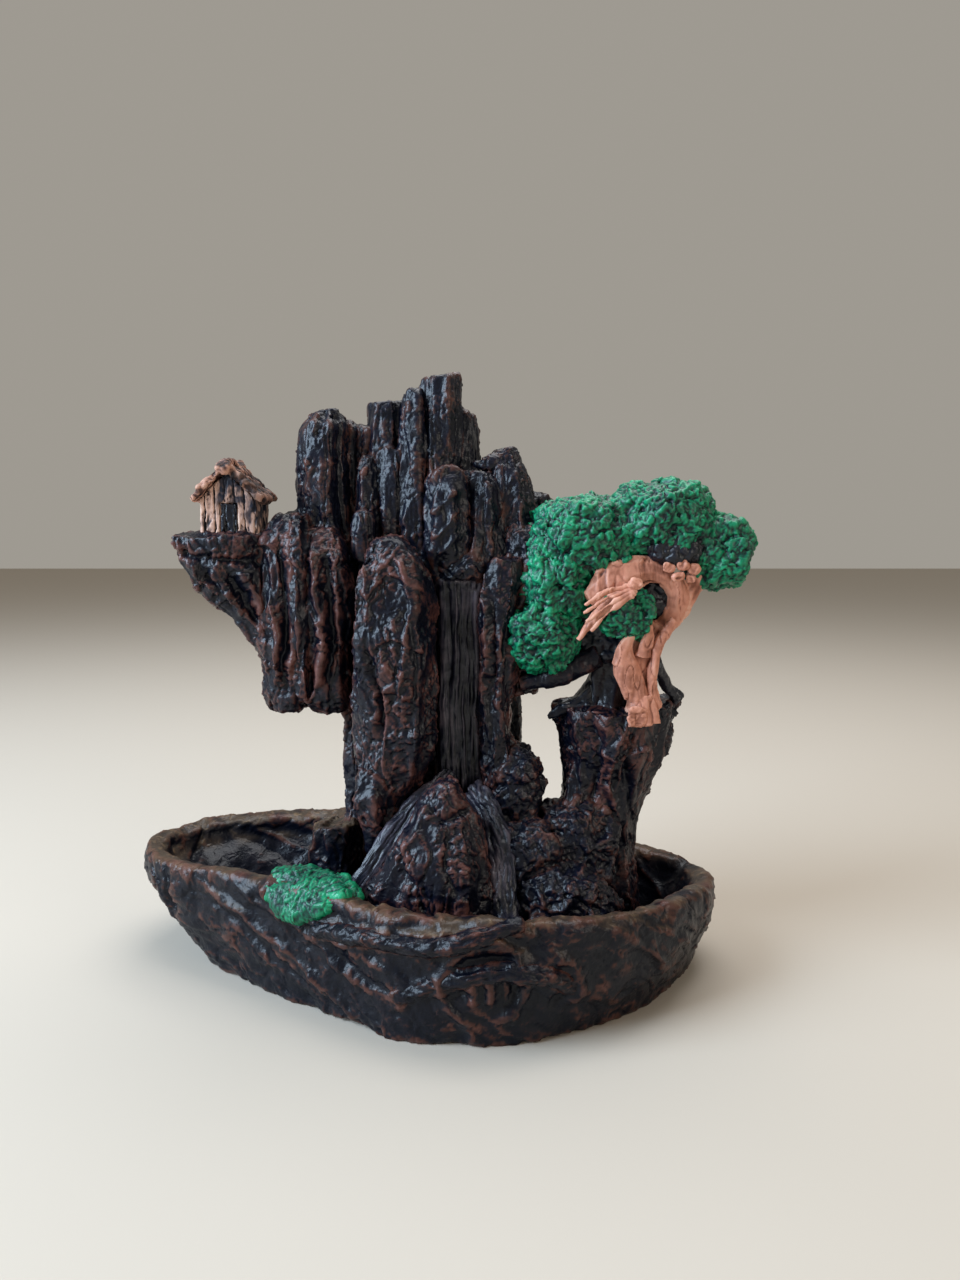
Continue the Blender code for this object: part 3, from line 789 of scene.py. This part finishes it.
PLASTER = clay_material(
    "washed_plaster",
    [(0.20, (0.006, 0.006, 0.010)), (0.30, (0.080, 0.050, 0.045)), (0.42, (0.560, 0.340, 0.260)),
     (0.90, (0.760, 0.540, 0.420))],
    roughness=0.58, coat=0.1, patches=0.9, wrinkles=300.0, rub_and_top_light=(0.010, 0.012, 0.022), cover=0.9,
)
THATCH = clay_material(
    "painted_thatch",
    [(0.18, (0.010, 0.008, 0.010)), (0.32, (0.100, 0.045, 0.034)), (0.46, (0.470, 0.240, 0.170)),
     (0.90, (0.680, 0.440, 0.330))],
    roughness=0.6, coat=0.05, patches=0.9, wrinkles=300.0, rub_and_top_light=(0.020, 0.015, 0.016), cover=0.8,
)


# ---- tool marks, as seen from the front: (kind, height, width, points (x, z)) in mm ---------

MARKS = {
    "basin": (
        ("rope", 1.0, 1.2, ((-14, 37), (5, 41), (20, 39), (33, 35))),
        ("rope", 1.0, 1.1, ((-20, 32), (-2, 35), (12, 36), (24, 33), (36, 27))),
        ("rope", 2.3, 1.9, ((7, 25), (12, 31), (21, 33), (28, 29), (31, 21), (28, 13), (20, 8))),
        ("rope", 2.0, 1.9, ((7, 25), (5, 19), (9, 12), (15, 7))),
        ("rope", -2.0, 2.8, ((12, 25), (22, 29), (27, 22), (25, 13))),
        ("rope", 2.2, 1.4, ((11, 24), (15, 22), (16, 14))),
        ("rope", 2.6, 1.5, ((17, 27), (20, 21), (20, 14))),
        ("rope", 2.2, 1.3, ((24, 26), (25, 19), (24, 14))),
        ("rope", 1.9, 1.8, ((38, 30), (46, 25), (47, 17), (42, 11))),
        ("rope", -1.5, 1.6, ((38, 24), (42, 19), (39, 13))),
        ("rope", 1.2, 1.3, ((-84, 36), (-54, 23), (-30, 10))),
        ("rope", -1.0, 1.5, ((-80, 30), (-56, 18), (-38, 8))),
        ("rope", 1.1, 1.2, ((-66, 36), (-41, 27), (-14, 12))),
        ("rope", 1.0, 1.2, ((-46, 35), (-26, 27), (-4, 20))),
        ("rope", -1.2, 1.4, ((-30, 24), (-14, 16), (0, 14))),
        ("rope", -2.0, 1.2, ((-103, 35), (-103, 27), (-101, 20))),
        ("rope", -1.6, 1.0, ((-96, 36), (-96, 28), (-93, 20))),
        ("rope", 1.2, 1.4, ((58, 34), (70, 26), (78, 14))),
        ("rope", 1.0, 1.2, ((70, 33), (82, 25), (88, 16))),
    ),
    "hut_ledge": (
        ("rope", -1.8, 1.4, ((-90, 150), (-76, 147.5), (-56, 146.5))),
        ("rope", 1.9, 1.6, ((-84, 147), (-77, 139), (-66, 131))),
        ("rope", 1.8, 1.5, ((-76, 145), (-69, 134), (-61, 122))),
        ("rope", 1.8, 1.6, ((-66, 145), (-61, 133), (-58, 118))),
        ("rope", -2.0, 1.7, ((-79, 143), (-73, 137), (-68, 130))),
        ("rope", -2.0, 1.6, ((-69, 142), (-64, 132), (-60, 124))),
    ),
    "front_pillar": (
        ("rope", 1.2, 1.4, ((-24, 148), (-21, 134), (-23, 117))),
        ("lobe", 1.9, 6.0, ((-14, 152), (-7.5, 134), (-9, 114), (-14, 92))),
        ("lobe", 1.5, 4.5, ((-22, 134), (-13, 141), (-3, 135))),
        ("lobe", 1.4, 4.5, ((-20, 117), (-11, 121), (0, 115))),
        ("lobe", 1.4, 4.5, ((-21, 100), (-12, 103), (-3, 97))),
        ("rope", -2.6, 1.1, ((-22, 118), (-18, 103), (-17, 86))),
        ("rope", -1.3, 1.0, ((-6, 126), (-4, 112), (-6, 98))),
    ),
    "pillar_foot": (("rope", -1.8, 1.2, ((-12, 72), (-14, 60), (-17, 50))),),
    "right_buttress": (
        ("rope", 1.6, 1.3, ((17, 138), (19, 120), (18, 100), (20, 84))),
        ("rope", 1.3, 1.2, ((25, 128), (24, 110), (25, 90))),
        ("rope", -1.8, 1.2, ((21, 136), (22, 116), (21, 96))),
    ),
    "hanging_rock_outer": (
        ("rope", 1.7, 1.4, ((-58, 160), (-56, 140), (-54, 118), (-55, 98))),
        ("rope", -2.0, 1.5, ((-53, 156), (-51, 132), (-52, 106))),
        ("rope", 1.4, 1.2, ((-49, 150), (-48, 128), (-49, 104))),
    ),
    "hanging_rock_inner": (
        ("rope", 1.8, 1.4, ((-42, 157), (-39, 135), (-38, 115), (-41, 96))),
        ("rope", -2.2, 1.5, ((-36, 152), (-34, 126), (-36, 103))),
        ("rope", -2.0, 1.3, ((-43, 142), (-45, 120), (-43, 102))),
    ),
    "crown_tall_front": (
        ("rope", 1.8, 1.2, ((1.5, 143), (-1.5, 160), (0, 172), (7, 177.5), (11, 168), (11, 148))),
        ("rope", 0.9, 0.8, ((0, 163), (9, 171))),
        ("rope", 0.9, 0.8, ((1, 155), (10, 165))),
        ("rope", 0.9, 0.8, ((2, 148), (10, 157))),
    ),
    "front_mound": (
        ("rope", -1.8, 1.3, ((0, 68), (6, 63), (14, 67))),
        ("rope", 1.2, 1.2, ((-16, 47), (-8, 54), (1, 60))),
        ("rope", -1.2, 1.1, ((8, 60), (6, 50), (10, 41))),
    ),
    "pedestal": (
        ("rope", 1.4, 1.2, ((52, 90), (54, 74), (53, 58))),
        ("rope", -2.0, 1.3, ((56, 92), (59, 76), (57, 58))),
        ("rope", 1.6, 1.3, ((66, 88), (63, 72), (66, 54))),
        ("rope", -1.8, 1.4, ((71, 90), (69, 74), (72, 56))),
        ("lobe", 1.6, 4.0, ((76, 84), (66, 78), (58, 82))),
    ),
}


# ---- the pieces ---------------------------------------------------------------------------

WATER = ("waterfall", "stream_left", "stream_right")
COLUMNS = (
    "crown_tall_front", "crown_tall", "crown_tall_left", "crown_middle_low", "crown_sliver",
    "crown_middle", "crown_far_left", "crown_recess", "crown_right", "crown_hooked",
    "crown_tall_right", "crown_far_right", "left_leg", "back_slab_left", "back_slab_middle",
    "back_slab_right", "cliff_core",
)
RED_CRAGS = (
    "front_pillar", "pillar_foot", "hut_ledge", "pedestal", "hanging_ridge",
    "hanging_rock_outer", "hanging_rock_inner", "right_buttress", "right_shoulder", "front_mound",
)
BESIDE_WATER = ("front_pillar", "right_buttress")
DARK_CRAGS = (
    "pedestal_spur", "waterfall_lip", "boulder_upper", "boulder_middle", "boulder_low",
    "boulder_saddle",
)
LEAVES = (
    "leaves_top", "leaves_upper_left", "leaves_right", "leaves_lower_left", "leaves_middle_left",
    "leaves_centre",
)

# Routes of the two streams, as seen from the front: (x, z) in mm.
STREAM_LEFT = ((8, 73), (-1, 64), (-11, 53), (-19, 43), (-28, 31), (-33, 19))
STREAM_RIGHT = ((14, 66), (20, 60), (24.5, 48), (25.5, 34), (26.5, 19))

# The beak of the hooked column: (x, y, z, radius) in mm.
HOOK = (
    (28, 17, 181, 3.6), (22.5, 14.5, 181.2, 3.3), (18.6, 13.5, 180.6, 2.3),
    (15.2, 12.5, 180.6, 0.7),
)


def make_rocks():
    for node in COLUMNS:
        sculpt(node, column, DARK, "dark_clay", soften=2, strokes=MARKS.get(node, ()))
    for node in RED_CRAGS:
        swell = SUNK if node in BESIDE_WATER else SWELL
        sculpt(node, crag, RED, "dark_clay", strokes=MARKS.get(node, ()), swell=swell)
    # The stepping rock's top takes RIM's lighter colour: rubbed lacquer and painted top light.
    sculpt("stepping_rock", crag, RIM, "dark_clay", wear_and_light_mask=rim_wear_and_top_light)
    for node in DARK_CRAGS:
        sculpt(node, knobbly, DARK, "dark_clay")
    for node in ("front_root_upper", "front_root_middle"):
        sculpt(node, dragged, RIM, "red_clay")
    # The rim's upward faces take RIM's lighter colour: rubbed lacquer and painted top light.
    sculpt(
        "basin", basin_wall, RIM, "dark_clay", voxel=BASIN_VOXEL, floor=0.0,
        strokes=MARKS["basin"], wear_and_light_mask=rim_wear_and_top_light,
    )
    chip = lump_mesh((-23.6, 5.5, 155), (3.8, 3.2, 8.4), turn=3, square=5)
    sculpt("crown_chip", column, DARK, "dark_clay", form=chip)
    hook = strand_mesh(HOOK)
    sculpt("crown_hook", column, DARK, "dark_clay", form=hook, voxel=FINE_VOXEL, bend=0.4)


def make_water():
    sculpt("waterfall", falling, WATERFALL, "black_clay", bend=0.6, voxel=FINE_VOXEL)
    for node, route in (("stream_left", STREAM_LEFT), ("stream_right", STREAM_RIGHT)):
        sculpt(node, flowing_along(route), WATERFALL, "black_clay", bend=0.6, voxel=FINE_VOXEL)


# New strands round the tree, by clay and slot: thickness as a share of width, and the route
# (x, y, z, radius) in mm.
TREE_STRANDS = (
    (BARK, "bark", {
        "fan_twig_1": (
            0.8, ((69, -14, 139, 1.3), (60, -15, 136.6, 1.0), (52.2, -15, 132.4, 0.5)),
        ),
        "fan_twig_2": (
            0.8, ((69, -15, 138, 1.2), (60, -15.6, 134.4, 0.9), (51.6, -15.4, 129.8, 0.5)),
        ),
        "fan_twig_3": (
            0.8, ((68.5, -15.4, 137, 1.2), (60, -16, 132, 0.9), (52.7, -15.6, 127, 0.5)),
        ),
        "fan_twig_4": (
            0.8, ((68, -15.6, 136, 1.1), (60.5, -16, 129.8, 0.9), (54.4, -15.8, 124, 0.5)),
        ),
        "trunk_foot": (
            0.4, ((73.5, -6.8, 100, 4.4), (73.8, -7.6, 95, 5.2), (74.2, -8.6, 89.8, 6.0)),
        ),
        "trunk_shoulder": (
            0.5, ((72.5, -7, 98, 3.4), (69.5, -7.5, 105, 4.6), (67.6, -7.5, 111, 4.6),
                  (67.2, -8, 115.5, 2.6), (68.4, -8.6, 119, 0.8)),
        ),
        "trunk_prong_left": (
            0.8, ((65.5, -7.5, 111, 2.8), (66.6, -8, 117, 2.0), (69, -9, 121.5, 0.7)),
        ),
        "trunk_prong_right": (
            0.8, ((73, -7, 114, 3.0), (74.0, -8, 120, 1.9), (75.5, -9, 125, 0.7)),
        ),
        "trunk_sinew": (
            0.8, ((79, -6, 95, 1.8), (77, -6.5, 102, 1.7), (76.5, -7, 110, 1.6),
                  (78.5, -7, 118, 1.6), (84, -7, 126, 1.3)),
        ),
    }),
    (RIM, "black_clay", {
        "root_tip": (
            0.9, ((59, 4, 97, 4.0), (51, 3, 94.6, 2.8), (45, 2, 92.8, 1.7), (41.6, 1, 91.2, 0.8)),
        ),
    }),
    (RED, "red_clay", {
        "canopy_shelf": (
            0.8, ((31, -1, 103, 2.5), (37, -1, 104.5, 3.4), (44, -1, 106, 4.0),
                  (51, 0, 109, 4.2), (59, 1, 113, 4.0)),
        ),
    }),
)

# Squarish crumbs and chips, by relief, clay and slot: middle and half sizes in mm, and turn in
# degrees.
TREE_LUMPS = (
    (crumbly, BLACK, "black_clay", {
        # These two black crumb lumps are painted shade: dark clay put in the canopy's recess and in
        # the gap behind the arch.
        "canopy_shadow_lump": ((84.3, -3.8, 151.8), (9.2, 5.6, 5.8), 10),
        "arch_shadow_lump": ((78.6, 0.5, 133), (4.6, 3.0, 9.5), 0),
    }),
    (chipped, BARK, "bark", {
        "bark_chip_a": ((81.8, -9, 145.2), (2.3, 0.9, 1.7), 12),
        "bark_chip_b": ((86.4, -8.8, 146), (1.9, 0.9, 1.9), -10),
        "bark_chip_c": ((90.4, -8, 144.6), (1.8, 0.9, 1.6), 20),
        "bark_chip_d": ((85.0, -9, 141.8), (2.1, 0.9, 1.5), -18),
        "bark_chip_e": ((89.3, -8, 140.8), (1.5, 0.8, 1.4), 8),
        "twig_knob": ((68.8, -15.5, 139.6), (2.1, 1.6, 2.0), 15),
        "trunk_chip": ((71.4, -10.4, 93.2), (3.3, 0.8, 3.7), 7),
    }),
)


def make_tree():
    for node in ("side_root", "root_flare"):
        sculpt(node, bark, BLACK, "black_clay")
    for node in ("canopy_core", "canopy_arm"):
        sculpt(node, crumbly, BLACK, "black_clay")
    for node in LEAVES:
        sculpt(node, leafy, LEAF, "leaf", voxel=LEAF_VOXEL)
    sculpt("moss_patch", mossy, LEAF, "leaf", voxel=FINE_VOXEL, swell=1.1, weld=0, wear_and_light_mask=drag)
    for node in ("trunk", "branch_arch", "branch_right", "twig"):
        sculpt(node, bark, BARK, "bark", voxel=FINE_VOXEL)
    for clay, slot, strands in TREE_STRANDS:
        for name, (flat, route) in strands.items():
            form = strand_mesh(route, flat)
            sculpt(name, bark, clay, slot, form=form, voxel=DETAIL_VOXEL, bend=0.6)
    for relief, clay, slot, lumps in TREE_LUMPS:
        for name, (middle, half_sizes, turn) in lumps.items():
            form = lump_mesh(middle, half_sizes, turn)
            sculpt(name, relief, clay, slot, form=form, voxel=DETAIL_VOXEL, bend=0.6)


def make_hut():
    small = {"voxel": HUT_VOXEL, "bend": 0.6, "weld": 0}
    sculpt("hut_walls", plaster, PLASTER, "plaster", soften=2, wear_and_light_mask=smoke, **small)
    sculpt("hut_door", plaster, BLACK, "black_clay", swell=-0.2, **small)
    for node in ("hut_roof_left", "hut_roof_right", "hut_ridge_roll"):
        wear_and_light_mask = smoke if node == "hut_roof_right" else rim_wear_and_top_light
        sculpt(node, thatch, THATCH, "thatch", voxel=DETAIL_VOXEL, bend=0.8, weld=0, wear_and_light_mask=wear_and_light_mask)


# ---- floor, light and camera --------------------------------------------------------------


def make_stage():
    mesh = bpy.data.meshes.new("floor")
    signs = ((-1, -1), (1, -1), (1, 1), (-1, 1))
    corners = [(x * FLOOR_REACH, y * FLOOR_REACH, 0) for x, y in signs]
    mesh.from_pydata(corners, [], [(0, 1, 2, 3)])
    floor = bpy.data.objects.new("floor", mesh)
    floor.location.z = -FLOOR_DROP
    bpy.context.scene.collection.objects.link(floor)
    material, _, _, shader = new_material("pale_floor")
    shader.inputs["Base Color"].default_value = (0.48, 0.42, 0.35, 1)
    shader.inputs["Roughness"].default_value = 0.7
    mesh.materials.append(material)

    world = bpy.data.worlds.new("studio")
    world.use_nodes = True
    background = world.node_tree.nodes["Background"]
    background.inputs["Color"].default_value = (0.93, 0.87, 0.77, 1)
    background.inputs["Strength"].default_value = WORLD_STRENGTH
    bpy.context.scene.world = world
    bpy.context.scene.view_settings.view_transform = "Standard"


def make_light(name, place, size, power, colour):
    """A soft rectangle of light, turned to the middle of the object. power is in watts."""
    light = bpy.data.lights.new(name, "AREA")
    light.shape = "RECTANGLE"
    light.size, light.size_y = size
    light.energy = power
    light.color = colour
    obj = bpy.data.objects.new(name, light)
    obj.location = place
    to_middle = Vector((0, 0, 0.10)) - Vector(place)
    obj.rotation_euler = to_middle.to_track_quat("-Z", "Y").to_euler()
    bpy.context.scene.collection.objects.link(obj)


def make_lights():
    make_light("window", (-0.85, -0.35, 0.60), (0.6, 0.9), power=24, colour=(0.62, 0.80, 1.0))
    make_light("fill", (0.8, -0.7, 0.45), (0.5, 0.5), power=2.5, colour=(1.0, 0.92, 0.82))
    make_light("top", (0.1, 0.25, 1.0), (0.8, 0.8), power=9, colour=(0.95, 0.97, 1.0))


def make_camera():
    data = bpy.data.cameras.new("camera")
    data.lens = CAMERA_LENS
    data.sensor_width = CAMERA_SENSOR
    data.clip_start = CAMERA_NEAR
    camera = bpy.data.objects.new("camera", data)
    camera.location = CAMERA_AT
    camera.rotation_euler = (math.radians(90 - CAMERA_PITCH), 0, 0)
    bpy.context.scene.collection.objects.link(camera)
    bpy.context.scene.camera = camera


make_camera()
make_stage()
make_lights()
make_rocks()
make_water()
make_tree()
make_hut()
